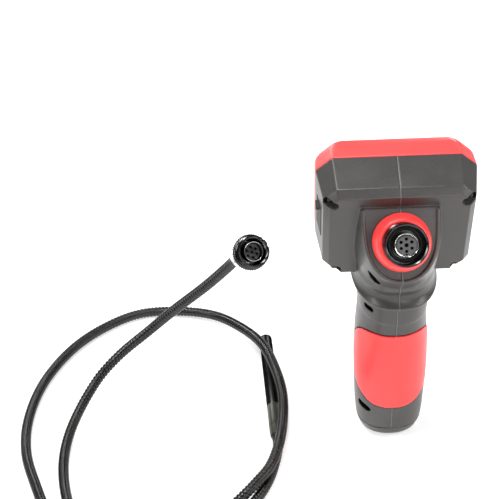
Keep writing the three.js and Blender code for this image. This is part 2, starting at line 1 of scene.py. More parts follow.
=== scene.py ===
"""Looks of a handheld inspection camera: a pistol-shaped handset with a tilted screen head, and its
detachable gooseneck cable with a screw plug and an imager. Shapes are given in millimetres in the frame of
the CAD model (+Z up, the connector side faces -Y), and every mesh is made in metres."""
import math

import bmesh
import bpy
import numpy as np
from mathutils import Matrix, Vector


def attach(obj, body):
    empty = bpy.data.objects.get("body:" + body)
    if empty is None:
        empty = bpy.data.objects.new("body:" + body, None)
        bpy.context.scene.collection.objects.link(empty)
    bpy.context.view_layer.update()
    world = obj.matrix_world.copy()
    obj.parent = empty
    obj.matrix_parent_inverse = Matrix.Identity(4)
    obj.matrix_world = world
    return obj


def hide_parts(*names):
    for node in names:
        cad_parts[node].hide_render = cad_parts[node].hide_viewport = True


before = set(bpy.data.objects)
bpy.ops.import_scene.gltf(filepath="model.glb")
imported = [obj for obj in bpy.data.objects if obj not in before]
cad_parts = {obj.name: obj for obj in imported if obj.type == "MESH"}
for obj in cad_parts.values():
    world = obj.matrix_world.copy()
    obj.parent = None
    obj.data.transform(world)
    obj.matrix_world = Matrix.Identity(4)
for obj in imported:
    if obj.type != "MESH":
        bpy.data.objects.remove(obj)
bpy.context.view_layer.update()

scene = bpy.context.scene
MM = 0.001

# ---------------------------------------- driving dimensions, as in the CAD

GAP = 0.3
WALL = 2.4
FAR = 300

HEAD_TILT = 14
HEAD_CENTRE = (0, 4.5, 185.2)
HEAD_SKIN = [   # depth, half width, half height, upper and lower corner cuts
    (-30, 43.3, 35, 5.2, 8),
    (-25, 47.3, 39, 8.4, 11.5),
    (0, 50.8, 41, 10.4, 13.5),
]
BUMPER_SKIN = [
    (0.3, 50.8, 41, 10.4, 13.5),
    (10.5, 50.8, 41, 12, 14),
    (16, 49.4, 39.7, 12.4, 13.8),
    (19, 46, 36.4, 11.4, 12),
]
FRAME_HALF = (42.9, 33.4)
FRAME_CUT = 8
FRAME_FRONT = 17
DISPLAY_Z = 4.8
VIEW = (62, 46.5)
BUTTON_Z = -27
BUTTON_STEP = 14.5

PORT_TILT = math.radians(32)
BOSS_TOP = (0, -33.8, 204)
PORT_DROP = 20.2
RIM_WIDTH = 2
RIM_DEPTH = 1.4
SOCKET_LENGTH = 30
COLLAR_HEIGHT = 13.2

HANDLE_SKIN = [   # height, front, back, half width, squareness
    (0, 17, 19, 17.8, 2.25),
    (1.6, 19.8, 21.4, 20.2, 2.25),
    (5, 21.9, 23.2, 21.7, 2.25),
    (9.8, 23.2, 24.1, 22.9, 2.4),
    (22, 25.3, 25, 23.9, 2.4),
    (40, 28, 25.8, 24.6, 2.4),
    (62, 31, 26.2, 24.9, 2.4),
    (84, 33, 26.2, 24.5, 2.4),
    (100, 34, 26, 23.4, 2.4),
    (113, 35.2, 26, 22.8, 2.4),
    (115.5, 37.6, 26.2, 23.5, 2.4),
    (130, 38.6, 26.6, 23.8, 2.4),
    (134, 39.6, 26.8, 24, 2.4),
    (135, 45.5, 27, 26.6, 2.4),
    (135.8, 48.2, 27.2, 28.2, 2.4),
    (137.2, 48.4, 27.2, 28.4, 2.4),
    (138.4, 46.8, 27.2, 27.6, 2.4),
    (141, 44.6, 27.2, 26.9, 2.4),
    (144.5, 44, 27.4, 26.7, 2.4),
    (147.2, 45.2, 27.4, 27, 2.4),
    (149, 46.4, 27.5, 27.1, 2.35),
    (153, 47.8, 27.6, 27.1, 2.25),
    (160, 53.2, 27.8, 28.2, 2.2),
    (166, 58.6, 28, 28.6, 2.2),
    (174.3, 63.8, 28, 28.4, 2.3),
    (184, 70, 28, 28, 2.3),
    (194, 72, 26, 27, 2.35),
    (204, 72, 22, 26, 2.4),
]
CAP_TOP = 9.8
GRIP = {"thick": 2, "proud": 0.35, "top": 102.4, "bottom": 40, "corner_y": 19, "back_y": 1}
DOOR = {"half_x": 15.2, "bottom": 21, "top": 117.5, "inner_y": 14, "thick": 2.2}
LATCH = {"half_x": 5, "bottom": 107, "top": 112, "thick": 1.1}
PORT_COVER = {"low": (-20, -9), "high": (-6, 15), "thick": 1.6}
HEAD_SCREWS = [(-42.2, 30.2), (42.2, 30.2), (-39.4, -33.4), (39.4, -33.4)]
HANDLE_SCREWS = [(-43.8, 160, -12), (-27.3, 123.2, -13), (-17.5, 28, -13)]

CORD_RADIUS = 4
PLUG_FACE = (-90.8, -47.1, 186)
PLUG_AXIS = (0.26, -0.74, 0.62)
PLUG_LENGTH = 36
IMAGER_TIP = (-86.5, 85.5, 5)
IMAGER_REAR = (-80.5, -22.5, 5)
IMAGER_RADIUS = 4.85
SLEEVE_LENGTH = 31

# The gooseneck's route between the plug and the imager, in metres, as in the CAD.
LIE = 0.0042
ROUTE = [
    (-0.102, -0.0153, 0.1594), (-0.106, -0.0055, 0.147), (-0.1245, 0.012, 0.116),
    (-0.1515, 0.031, 0.079), (-0.17, 0.0375, 0.057), (-0.1945, 0.035, 0.0355),
    (-0.2105, 0.0225, 0.0235), (-0.228, -0.0145, 0.009), (-0.2295, -0.0525, 0.0046),
    (-0.215, -0.0995, LIE), (-0.1975, -0.1155, LIE), (-0.174, -0.1225, LIE), (-0.151, -0.118, LIE),
    (-0.13, -0.1055, LIE), (-0.1142, -0.0905, 0.0056), (-0.1034, -0.081, 0.0091),
    (-0.095, -0.0725, 0.012), (-0.0865, -0.061, 0.0134), (-0.0795, -0.04, 0.0137),
    (-0.076, -0.0165, 0.0144), (-0.0755, 0.0115, 0.0148), (-0.08, 0.0375, 0.0163),
    (-0.089, 0.0655, 0.016), (-0.1055, 0.094, 0.0104), (-0.127, 0.1155, 0.006),
    (-0.155, 0.1245, LIE), (-0.186, 0.123, LIE), (-0.211, 0.109, LIE), (-0.235, 0.084, LIE),
    (-0.254, 0.045, LIE), (-0.261, 0.004, LIE), (-0.2585, -0.0285, LIE), (-0.2495, -0.057, LIE),
    (-0.225, -0.1105, LIE), (-0.2, -0.1325, LIE), (-0.165, -0.1385, LIE), (-0.1245, -0.119, LIE),
    (-0.096, -0.0815, LIE), (-0.086, -0.06, LIE), (-0.08, -0.032, 0.0049),
]

# ---------------------------------------- driving dimensions of the looks alone

RIM_RISE = 0.5
HANDLE_SIDES = 112
CORNER_SHRINK = 0.586   # how much less a 45 degree corner cuts off, for each mm that a skin is inset
SLOTS = [(17, 5.8, 2.8), (85, 4.5, 1.8), (102, 4.9, 2.9)]   # lean from upright, half length, radius
PLUG_PIN_RING = 3.3
SOCKET_PIN_RING = 3.7

# The hose stays a little thinner than the CAD gooseneck, so that its ridges stay inside the CAD box.
HOSE_RADIUS = CORD_RADIUS - 0.25
RIDGE_PITCH = 2.8
RIDGE_DEPTH = 1

CAMERA_PLACE = (-0.0831, -0.6960, 0.6590)   # metres
CAMERA_PAN = 0.9                            # degrees, as are the next two
CAMERA_DOWN = 36
CAMERA_ROLL = -2.6
CAMERA_LENS = 94.2


# ---------------------------------------- camera

def add_camera():
    """Looks down at the object from in front of its connector side."""
    camera = bpy.data.objects.new("camera", bpy.data.cameras.new("camera"))
    scene.collection.objects.link(camera)
    camera.matrix_world = (
        Matrix.Translation(CAMERA_PLACE)
        @ Matrix.Rotation(math.radians(CAMERA_PAN), 4, "Z")
        @ Matrix.Rotation(math.radians(90 - CAMERA_DOWN), 4, "X")
        @ Matrix.Rotation(math.radians(CAMERA_ROLL), 4, "Z")
    )
    camera.data.lens = CAMERA_LENS
    camera.data.sensor_width = 36
    camera.data.clip_start = 0.01
    scene.camera = camera


# ---------------------------------------- mesh helpers

def mesh_object(name, vertices, faces, matrix=None, smooth=True):
    """An object from vertices in millimetres, placed by a matrix in millimetres."""
    points = np.array(vertices, float).reshape(-1, 3)
    if matrix is not None:
        turn = np.array(matrix, float)
        points = points @ turn[:3, :3].T + turn[:3, 3]
    mesh = bpy.data.meshes.new(name)
    mesh.from_pydata((points * MM).tolist(), [], faces)
    mesh.validate()
    if smooth:
        mesh.shade_smooth()
    made = bpy.data.objects.new(name, mesh)
    scene.collection.objects.link(made)
    return made


def loft(name, rings, matrix=None, smooth=True, closed=False):
    """A skin through rings of points, capped at both ends, or joined into a closed loop of rings."""
    sides = len(rings[0])
    faces = []
    steps = len(rings) if closed else len(rings) - 1
    for ring in range(steps):
        below = ring * sides
        above = (ring + 1) % len(rings) * sides
        for k in range(sides):
            after = (k + 1) % sides
            faces.append((below + k, below + after, above + after, above + k))
    if not closed:
        faces.append(tuple(reversed(range(sides))))
        faces.append(tuple(range(len(rings) * sides - sides, len(rings) * sides)))
    made = mesh_object(name, [point for ring in rings for point in ring], faces, matrix, smooth)
    tidy_normals(made)
    return made


def tidy_normals(made):
    work = bmesh.new()
    work.from_mesh(made.data)
    bmesh.ops.remove_doubles(work, verts=work.verts, dist=1e-7)
    bmesh.ops.recalc_face_normals(work, faces=work.faces)
    work.to_mesh(made.data)
    work.free()


def turned(name, profile, sides=64, matrix=None, wobble=None):
    """A piece turned about Z from a closed or axis-to-axis profile of radius and height."""
    rings = []
    for k in range(sides):
        angle = 2 * math.pi * k / sides
        ring = []
        for radius, height in profile:
            r = radius + (wobble(angle, radius, height) if wobble else 0)
            ring.append((r * math.cos(angle), r * math.sin(angle), height))
        rings.append(ring)
    return loft(name, rings, matrix, closed=True)


def block(name, low, high, matrix=None):
    low, high = Vector(low), Vector(high)
    corners = [(x, y, z) for z in (low.z, high.z) for y in (low.y, high.y) for x in (low.x, high.x)]
    faces = [(0, 2, 3, 1), (4, 5, 7, 6), (0, 1, 5, 4), (2, 6, 7, 3), (0, 4, 6, 2), (1, 3, 7, 5)]
    return mesh_object(name, corners, faces, matrix, smooth=False)


def rod(name, radius, bottom, top, sides=32, matrix=None):
    rings = [
        [(radius * math.cos(2 * math.pi * k / sides), radius * math.sin(2 * math.pi * k / sides), z)
         for k in range(sides)]
        for z in (bottom, top)
    ]
    return loft(name, rings, matrix)


def prism(name, outline, bottom, top, matrix=None):
    """A straight extrusion along Z of a flat outline."""
    return loft(name, [[(x, y, z) for x, y in outline] for z in (bottom, top)], matrix, smooth=False)


def apply_modifiers(made):
    shown = made.evaluated_get(bpy.context.evaluated_depsgraph_get())
    mesh = bpy.data.meshes.new_from_object(shown)
    made.modifiers.clear()
    made.data = mesh


def combine(base, tool, how):
    modifier = base.modifiers.new(how, "BOOLEAN")
    modifier.operation = how
    modifier.solver = "MANIFOLD"
    modifier.object = tool
    apply_modifiers(base)
    bpy.data.objects.remove(tool)
    return base


def cut(base, tool):
    return combine(base, tool, "DIFFERENCE")


def keep(base, tool):
    return combine(base, tool, "INTERSECT")


def join(base, tool):
    return combine(base, tool, "UNION")


def copy_of(made):
    twin = made.copy()
    twin.data = made.data.copy()
    scene.collection.objects.link(twin)
    return twin


def soften(made, voxel, smoothing=3, share=1.0):
    """Rounds every edge a little, as moulding does, by remeshing finely and smoothing."""
    remesh = made.modifiers.new("remesh", "REMESH")
    remesh.mode = "VOXEL"
    remesh.voxel_size = voxel * MM
    smooth = made.modifiers.new("smooth", "SMOOTH")
    smooth.factor = 0.5
    smooth.iterations = smoothing
    if share < 1:
        thin = made.modifiers.new("thin", "DECIMATE")
        thin.ratio = share
    apply_modifiers(made)
    made.data.shade_smooth()
    return made


def bevel(made, width, segments=2, angle=35):
    rounding = made.modifiers.new("bevel", "BEVEL")
    rounding.width = width * MM
    rounding.segments = segments
    rounding.limit_method = "ANGLE"
    rounding.angle_limit = math.radians(angle)
    apply_modifiers(made)
    made.data.shade_smooth()
    return made


def auto_smooth(made, angle=35):
    """Smooth shading with hard edges where the surface turns by more than an angle."""
    made.data.shade_smooth()
    work = bmesh.new()
    work.from_mesh(made.data)
    for edge in work.edges:
        edge.smooth = edge.calc_face_angle(0) < math.radians(angle)
    work.to_mesh(made.data)
    work.free()
    return made


def place(made, body, material, slot, *nodes):
    """Gives a piece its material and its body, and hides the CAD nodes that it stands for."""
    made.data.materials.clear()
    made.data.materials.append(material)
    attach(made, body)
    if nodes:
        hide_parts(*nodes)
    return made


# ---------------------------------------- materials

def shader_graph(name):
    material = bpy.data.materials.new(name)
    material.use_nodes = True
    nodes = material.node_tree.nodes
    return material, nodes, material.node_tree.links, nodes["Principled BSDF"]


def surface(name, color, roughness, metallic=0.0, grain=0.4, bump=0.15, vary=0.12, rough_vary=0.08,
            coat=0.0, coat_roughness=0.2, specular=0.5, tint=1.0, stretch=(1, 1, 1)):
    """A procedural finish: a colour that varies softly, with a fine grain in its height and gloss.
    The grain is the size of its marks in millimetres."""
    material, nodes, links, shader = shader_graph(name)
    shader.inputs["Metallic"].default_value = metallic
    shader.inputs["Coat Weight"].default_value = coat
    shader.inputs["Coat Roughness"].default_value = coat_roughness
    shader.inputs["Specular IOR Level"].default_value = specular
    shader.inputs["Specular Tint"].default_value = (tint, tint, tint, 1)
    place_at = nodes.new("ShaderNodeTexCoord")
    scale = nodes.new("ShaderNodeMapping")
    scale.inputs["Scale"].default_value = stretch
    links.new(place_at.outputs["Object"], scale.inputs["Vector"])

    fine = nodes.new("ShaderNodeTexNoise")
    fine.inputs["Scale"].default_value = 1 / (grain * MM)
    fine.inputs["Detail"].default_value = 3
    links.new(scale.outputs["Vector"], fine.inputs["Vector"])
    broad = nodes.new("ShaderNodeTexNoise")
    broad.inputs["Scale"].default_value = 60
    broad.inputs["Detail"].default_value = 4
    links.new(scale.outputs["Vector"], broad.inputs["Vector"])

    part = nodes.new("ShaderNodeMath")
    part.operation = "MULTIPLY"
    part.inputs[1].default_value = 0.25
    links.new(broad.outputs["Fac"], part.inputs[0])
    mixed = nodes.new("ShaderNodeMath")
    mixed.operation = "MULTIPLY_ADD"
    mixed.inputs[1].default_value = 0.75
    links.new(fine.outputs["Fac"], mixed.inputs[0])
    links.new(part.outputs[0], mixed.inputs[2])

    tone = nodes.new("ShaderNodeValToRGB")
    dark = [c * (1 - vary) for c in color]
    light = [min(1.0, c * (1 + vary)) for c in color]
    tone.color_ramp.elements[0].position = 0.42
    tone.color_ramp.elements[0].color = (*dark, 1)
    tone.color_ramp.elements[1].position = 0.62
    tone.color_ramp.elements[1].color = (*light, 1)
    links.new(mixed.outputs[0], tone.inputs["Fac"])
    links.new(tone.outputs["Color"], shader.inputs["Base Color"])

    gloss = nodes.new("ShaderNodeMapRange")
    gloss.inputs["From Min"].default_value = 0.35
    gloss.inputs["From Max"].default_value = 0.65
    gloss.inputs["To Min"].default_value = max(0.02, roughness - rough_vary)
    gloss.inputs["To Max"].default_value = min(1.0, roughness + rough_vary)
    links.new(mixed.outputs[0], gloss.inputs["Value"])
    links.new(gloss.outputs["Result"], shader.inputs["Roughness"])

    height = nodes.new("ShaderNodeBump")
    height.inputs["Strength"].default_value = bump
    height.inputs["Distance"].default_value = 0.1 * MM
    links.new(fine.outputs["Fac"], height.inputs["Height"])
    links.new(height.outputs["Normal"], shader.inputs["Normal"])
    return material


def make_materials():
    return {
        "abs": surface("charcoal_abs", (0.05, 0.047, 0.045), 0.36, grain=0.5, bump=0.16, vary=0.14),
        # The parting bead is coloured three times lighter than the housing: a painted highlight along the
        # raised line.
        "bead": surface("parting_bead", (0.15, 0.146, 0.142), 0.4, grain=0.7, bump=0.3),
        "coral": surface("coral_rubber", (0.93, 0.046, 0.044), 0.38, bump=0.2, vary=0.03),
        "bumper": surface("bumper_rubber", (0.93, 0.068, 0.067), 0.4, bump=0.2, vary=0.03),
        # The pocket finish is a near-black colour put where only shade falls: painted shade in pockets, slots
        # and holes.
        "pocket": surface("pocket_painted_shade", (0.003, 0.003, 0.003), 0.9, bump=0.2, specular=0.05),
        "rubber": surface("black_rubber", (0.018, 0.018, 0.018), 0.6, grain=0.3, bump=0.3),
        "key": surface("key_rubber", (0.11, 0.11, 0.115), 0.55, grain=0.25, bump=0.2),
        "plastic": surface("black_plastic", (0.012, 0.012, 0.013), 0.35, grain=0.3, bump=0.3),
        "glass": surface("screen_glass", (0.006, 0.007, 0.009), 0.06, grain=2, bump=0.0, coat=1.0,
                         coat_roughness=0.03, rough_vary=0.02),
        "display": surface("display_panel", (0.02, 0.022, 0.03), 0.3, bump=0.0),
        "board": surface("circuit_board", (0.02, 0.12, 0.05), 0.4, grain=1.5, bump=0.3, vary=0.3),
        "tin": surface("tinned_steel", (0.6, 0.6, 0.58), 0.35, metallic=1.0, bump=0.1),
        "screw": surface("dark_screw", (0.04, 0.04, 0.042), 0.35, metallic=1.0, bump=0.2),
        "cell": surface("cell_wrap", (0.05, 0.09, 0.22), 0.25, bump=0.02),
        "black_metal": surface("black_metal", (0.07, 0.07, 0.072), 0.17, metallic=1.0, grain=0.25, bump=0.1,
                               tint=0.1),
        "bright": surface("bright_ring", (0.80, 0.79, 0.76), 0.16, metallic=1.0, grain=0.5, bump=0.05),
        "insert": surface("insert_plastic", (0.075, 0.074, 0.076), 0.5, grain=0.3, bump=0.3),
        "dark_insert": surface("plug_insert_plastic", (0.012, 0.011, 0.011), 0.4, grain=0.3, bump=0.3),
        "ferrule": surface("satin_ferrule", (0.85, 0.85, 0.84), 0.28, metallic=1.0, grain=0.3, bump=0.1,
                           stretch=(1, 1, 6)),
        "gooseneck": surface("gooseneck_black", (0.05, 0.05, 0.049), 0.18, metallic=1.0, grain=0.5, bump=0.02,
                             vary=0.3, rough_vary=0.03, tint=0.8),
        "imager": surface("imager_black", (0.05, 0.05, 0.052), 0.28, metallic=1.0, grain=0.3, bump=0.08,
                          tint=0.1),
        "olive": surface("olive_sleeve", (0.040, 0.042, 0.028), 0.4, grain=0.3, bump=0.2),
        "lamp": surface("led_board", (0.85, 0.83, 0.70), 0.2, bump=0.0),
        "lens": surface("lens_glass", (0.01, 0.012, 0.03), 0.04, bump=0.0, coat=1.0, coat_roughness=0.02),
    }


# ---------------------------------------- gooseneck

def catmull_rom(points, steps):
    """A centripetal Catmull-Rom curve through points, with some steps between each two."""
    ends = [2 * points[0] - points[1], *points, 2 * points[-1] - points[-2]]
    line = []
    for p0, p1, p2, p3 in zip(ends, ends[1:], ends[2:], ends[3:]):
        t1 = math.sqrt((p1 - p0).length)
        t2 = t1 + math.sqrt((p2 - p1).length)
        t3 = t2 + math.sqrt((p3 - p2).length)
        for step in range(steps):
            t = t1 + (t2 - t1) * step / steps
            a1 = p0 * ((t1 - t) / t1) + p1 * (t / t1)
            a2 = p1 * ((t2 - t) / (t2 - t1)) + p2 * ((t - t1) / (t2 - t1))
            a3 = p2 * ((t3 - t) / (t3 - t2)) + p3 * ((t - t2) / (t3 - t2))
            b1 = a1 * ((t2 - t) / t2) + a2 * (t / t2)
            b2 = a2 * ((t3 - t) / (t3 - t1)) + a3 * ((t - t1) / (t3 - t1))
            line.append(b1 * ((t2 - t) / (t2 - t1)) + b2 * ((t - t1) / (t2 - t1)))
    line.append(points[-1])
    return line


def evenly(line, count):
    """Points at equal distances along a line."""
    array = np.array([tuple(p) for p in line])
    along = np.concatenate([[0], np.cumsum(np.linalg.norm(np.diff(array, axis=0), axis=1))])
    at = np.linspace(0, along[-1], count)
    return np.stack([np.interp(at, along, array[:, axis]) for axis in range(3)], axis=1)


def plug_matrix():
    return Matrix.Translation(PLUG_FACE) @ Vector(PLUG_AXIS).to_track_quat("Z", "Y").to_matrix().to_4x4()


def imager_matrix():
    axis = Vector(IMAGER_TIP) - Vector(IMAGER_REAR)
    return Matrix.Translation(IMAGER_REAR) @ axis.to_track_quat("Z", "Y").to_matrix().to_4x4()


def gooseneck_line():
    start = plug_matrix() @ Vector((0, 0, -PLUG_LENGTH - GAP))
    end = imager_matrix() @ Vector((0, 0, -GAP))
    points = [start * MM, *[Vector(p) for p in ROUTE], end * MM]
    return catmull_rom(points, 24)


def gooseneck(materials):
    """The wound steel hose, with one helical ridge every pitch, and the path that it follows."""
    line = gooseneck_line()
    length = sum((b - a).length for a, b in zip(line, line[1:]))
    turns = round(length / (RIDGE_PITCH * MM))
    rings_each = 8
    sides = 20
    path_every = 4
    centres = evenly(line, turns * rings_each + 1)
    tangents = np.gradient(centres, axis=0)
    tangents /= np.linalg.norm(tangents, axis=1, keepdims=True)
    side = np.cross(tangents[0], (0, 0, 1))
    side /= np.linalg.norm(side)
    angles = 2 * np.pi * np.arange(sides) / sides
    vertices = []
    for index, (centre, tangent) in enumerate(zip(centres, tangents)):
        side = side - tangent * (side @ tangent)
        side /= np.linalg.norm(side)
        up = np.cross(tangent, side)
        phase = index / rings_each + angles / (2 * np.pi)
        radius = HOSE_RADIUS - RIDGE_DEPTH * (2 * (phase % 1) - 1) ** 4
        around = np.outer(np.cos(angles) * radius, side) + np.outer(np.sin(angles) * radius, up)
        vertices.append(centre / MM + around)
    made = loft("gooseneck_hose", vertices)
    place(made, "cable", materials["gooseneck"], "gooseneck_black", "gooseneck")
    return made, centres[::path_every]


# ---------------------------------------- plug and imager

def knurl(count, depth, low, high):
    """Teeth on the outside of a turned piece, between two heights and beyond a radius."""
    def wobble(angle, radius, height):
        if radius < high or height < low:
            return 0
        return depth * (abs((angle * count / (2 * math.pi)) % 1 - 0.5) * 2 - 1)
    return wobble


def ridged(radius, bottom, top, pitch, depth):
    """Profile points of a straight wall with rounded ridges, such as a thread."""
    count = max(1, round((top - bottom) / pitch))
    step = (top - bottom) / count
    points = []
    for k in range(count):
        base = bottom + k * step
        points += [(radius - depth, base + 0.12 * step), (radius, base + 0.38 * step),
                   (radius, base + 0.62 * step), (radius - depth, base + 0.88 * step)]
    return points


def six_around(radius):
    """Six points round a centre, the first at 30 degrees."""
    angles = [math.pi * (2 * k + 1) / 6 for k in range(6)]
    return [(radius * math.cos(angle), radius * math.sin(angle)) for angle in angles]


def plug_nut(matrix, material):
    """The knurled nut with its thread inside and three notches in its front edge."""
    nut = turned("plug_nut_knurled", [
        (7.7, -16), (9, -16), (9.5, -15.6), (9.8, -14), (10.2, -12), (10.6, -10.3), (11, -10), (11.4, -9.6),
        (11.4, -7.4), (11.1, -7), (10.4, -6.6), (10.4, -4.4), (10.2, -4.2),
        *ridged(10.1, -4, -0.7, 0.8, 0.4), (9.7, -0.3), (9.5, 0), (8.9, 0), (8.6, -0.3),
        *reversed(ridged(8.4, -7, -0.6, 0.8, -0.25)), (8.4, -8), (7.7, -9),
    ], 192, matrix, knurl(48, 0.4, -10.4, 10.7))
    for turn in (9, 38, 55):
        turned_matrix = matrix @ Matrix.Rotation(math.radians(turn), 4, "Z")
        cut(nut, block("slot", (8.2, -0.9, -2.2), (12, 0.9, 2), turned_matrix))
    place(auto_smooth(nut), "plug_nut", material, "black_metal", "plug_nut")


def plug_insert(matrix, materials):
    """The plastic insert with seven holes, and a pin standing in each."""
    spots = [*six_around(PLUG_PIN_RING), (0, 0)]
    insert = rod("plug_insert_pins", 5.1, -11.7, -5, 48, matrix)
    for x, y in spots:
        cut(insert, rod("hole", 0.95, -6.2, -4, 20, matrix @ Matrix.Translation((x, y, 0))))
    place(auto_smooth(bevel(insert, 0.12)), "cable", materials["dark_insert"],
          "insert_plastic", "plug_insert")
    for index, (x, y) in enumerate(spots):
        pin = turned(f"plug_pin_{index + 1}", [
            (0.01, -6.1), (0.5, -6.1), (0.5, -2.1), (0.42, -1.8), (0.25, -1.62), (0.01, -1.6),
        ], 20, matrix @ Matrix.Translation((x, y, 0)))
        place(pin, "cable", materials["black_metal"], "black_metal")


def plug_pieces(materials):
    matrix = plug_matrix()
    black = materials["black_metal"]
    plug_nut(matrix, black)

    body = turned("plug_body_turned", [
        (0.01, -17), (7.4, -17), (7.4, -12.3), (7.1, -12), (0.01, -12),
    ], 64, matrix)
    place(auto_smooth(body), "cable", black, "black_metal", "plug_body")
    shell = turned("plug_shell_turned", [
        (0.01, -24), (8, -24), (8.4, -23.8), (8.6, -23.3), (8.6, -21.4), (8.2, -21.1), (8.2, -20.4),
        (8.6, -20.1), (8.6, -17.4), (8.4, -17), (0.01, -17),
    ], 72, matrix)
    place(auto_smooth(shell), "cable", materials["ferrule"], "satin_ferrule")

    ring = turned("plug_ring_bright", [
        (5.4, -11.7), (6.1, -11.7), (6.1, -1.2), (6.05, -0.95), (5.9, -0.85), (5.75, -0.95), (5.7, -7),
        (5.4, -7.2),
    ], 64, matrix)
    place(auto_smooth(ring), "cable", materials["bright"], "bright_ring", "plug_ring")
    plug_insert(matrix, materials)

    ferrule = turned("plug_ferrule_turned", [
        (0.01, -36), (4.5, -36), (4.8, -35.8), (5.15, -35), (5.5, -33), (5.6, -31.2), (5.9, -30.4),
        (6.8, -30.1), (8, -30), (8.4, -29.8), (8.6, -29.3), (8.6, -27.9), (8.3, -27.7), (8.3, -27.2),
        (8.6, -27), (8.6, -25), (8.4, -24.5), (8, -24.3), (0.01, -24.3),
    ], 72, matrix)
    place(auto_smooth(ferrule), "cable", materials["ferrule"], "satin_ferrule", "plug_ferrule")


def imager_pieces(materials):
    matrix = imager_matrix()
    length = (Vector(IMAGER_TIP) - Vector(IMAGER_REAR)).length
    r = IMAGER_RADIUS
    sleeve = turned("imager_sleeve_turned", [
        (0.01, 0), (4.2, 0), (4.4, 0.2), (4.55, 1), (r - 0.1, 3), (r, 4), (r, 8), (r - 0.25, 8.2),
        (r - 0.25, 8.8), (r, 9), (r, 10), (r - 0.25, 10.2), (r - 0.25, 10.8), (r, 11),
        (r, SLEEVE_LENGTH - 1), (r - 0.2, SLEEVE_LENGTH - GAP), (0.01, SLEEVE_LENGTH - GAP),
    ], 56, matrix)
    place(auto_smooth(sleeve), "cable", materials["olive"], "olive_sleeve", "imager_sleeve")
    body = turned("imager_body_turned", [
        (0.01, SLEEVE_LENGTH), (r - 0.2, SLEEVE_LENGTH), (r, SLEEVE_LENGTH + 0.4), (r, length - 9),
        (r - 0.3, length - 8.8), (r - 0.3, length - 7.6), (r, length - 7.4), (r, length - 1),
        (r - 0.15, length - 0.4), (r - 0.6, length), (4, length), (3.9, length - 0.2), (3.9, length - 3),
        (0.01, length - 3),
    ], 64, matrix)
    place(auto_smooth(body), "cable", materials["imager"], "imager_black", "imager_body")
    board = turned("led_ring_board", [
        (2, length - 2.7), (3.6, length - 2.7), (3.6, length - 1.9), (2, length - 1.9),
    ], 48, matrix)
    place(auto_smooth(board), "cable", materials["dark_insert"], "led_board", "led_ring")
    for k in range(6):
        angle = math.pi * k / 3
        lamp = turned(f"imager_lamp_{k + 1}", [
            (0.01, -1.9), (0.62, -1.9), (0.62, -1.5), (0.5, -1.25), (0.28, -1.12), (0.01, -1.08),
        ], 20, matrix @ Matrix.Translation((2.8 * math.cos(angle), 2.8 * math.sin(angle), length)))
        place(lamp, "cable", materials["lamp"], "led_board")
    lens = turned("lens_window_domed", [
        (0.01, -2.7), (1.7, -2.7), (1.7, -1.3), (1.5, -1.1), (0.9, -0.85), (0.01, -0.75),
    ], 40, matrix @ Matrix.Translation((0, 0, length)))
    place(lens, "cable", materials["lens"], "lens_glass", "lens_window")


# ---------------------------------------- skins of the handset

def head_matrix():
    return Matrix.Translation(HEAD_CENTRE) @ Matrix.Rotation(math.radians(HEAD_TILT), 4, "X")


def port_matrix():
    origin = (0, BOSS_TOP[1] - PORT_DROP * math.sin(PORT_TILT), BOSS_TOP[2] - PORT_DROP * math.cos(PORT_TILT))
    return Matrix.Translation(origin) @ Matrix.Rotation(math.pi / 2 - PORT_TILT, 4, "X")


def rounded(corners, radius, steps=5):
    """A flat outline whose corners are rounded by arcs of a radius."""
    outline = []
    count = len(corners)
    for k in range(count):
        before, here, after = (Vector(corners[(k + d) % count]) for d in (-1, 0, 1))
        into, out = (before - here).normalized(), (after - here).normalized()
        half = into.angle(out) / 2
        reach = radius / math.tan(half)
        centre = here + (into + out).normalized() * (radius / math.sin(half))
        first = (here + into * reach) - centre
        last = (here + out * reach) - centre
        turn = math.atan2(first.x * last.y - first.y * last.x, first.dot(last))
        for step in range(steps + 1):
            a = turn * step / steps
            outline.append((centre.x + first.x * math.cos(a) - first.y * math.sin(a),
                            centre.y + first.x * math.sin(a) + first.y * math.cos(a)))
    return outline


def octagon(station, inset=0, radius=1.6, steps=5):
    y, half_x, half_z, top, bottom = station
    x, z = half_x - inset, half_z - inset
    top, bottom = top - inset * CORNER_SHRINK, bottom - inset * CORNER_SHRINK
    corners = [(x, -z + bottom), (x, z - top), (x - top, z), (-x + top, z),
               (-x, z - top), (-x, -z + bottom), (-x + bottom, -z), (x - bottom, -z)]
    return [(a, y, b) for a, b in rounded(corners, radius, steps)]


def head_skin(name, inset=0):
    stations = [octagon(station, inset) for station in HEAD_SKIN]
    if inset > 0:
        stations[0] = [(x, y + inset, z) for x, y, z in stations[0]]
        rear = HEAD_SKIN[-1]
        stations.append(octagon((rear[0] + 1, *rear[1:]), inset))
    return loft(name, stations, head_matrix())


def monotone(knots, values, at):
    """A smooth curve through values at knots that never swings past them."""
    knots, values = np.array(knots, float), np.array(values, float)
    slopes = np.diff(values) / np.diff(knots)
    tangents = np.zeros(len(knots))
    same = slopes[:-1] * slopes[1:] > 0
    tangents[1:-1][same] = 2 * slopes[:-1][same] * slopes[1:][same] / (slopes[:-1] + slopes[1:])[same]
    tangents[0], tangents[-1] = slopes[0], slopes[-1]
    index = np.clip(np.searchsorted(knots, at, "right") - 1, 0, len(knots) - 2)
    width = knots[index + 1] - knots[index]
    t = (at - knots[index]) / width
    return ((1 + 2 * t) * (1 - t) ** 2 * values[index] + t * (1 - t) ** 2 * width * tangents[index]
            + t * t * (3 - 2 * t) * values[index + 1] + t * t * (t - 1) * width * tangents[index + 1])


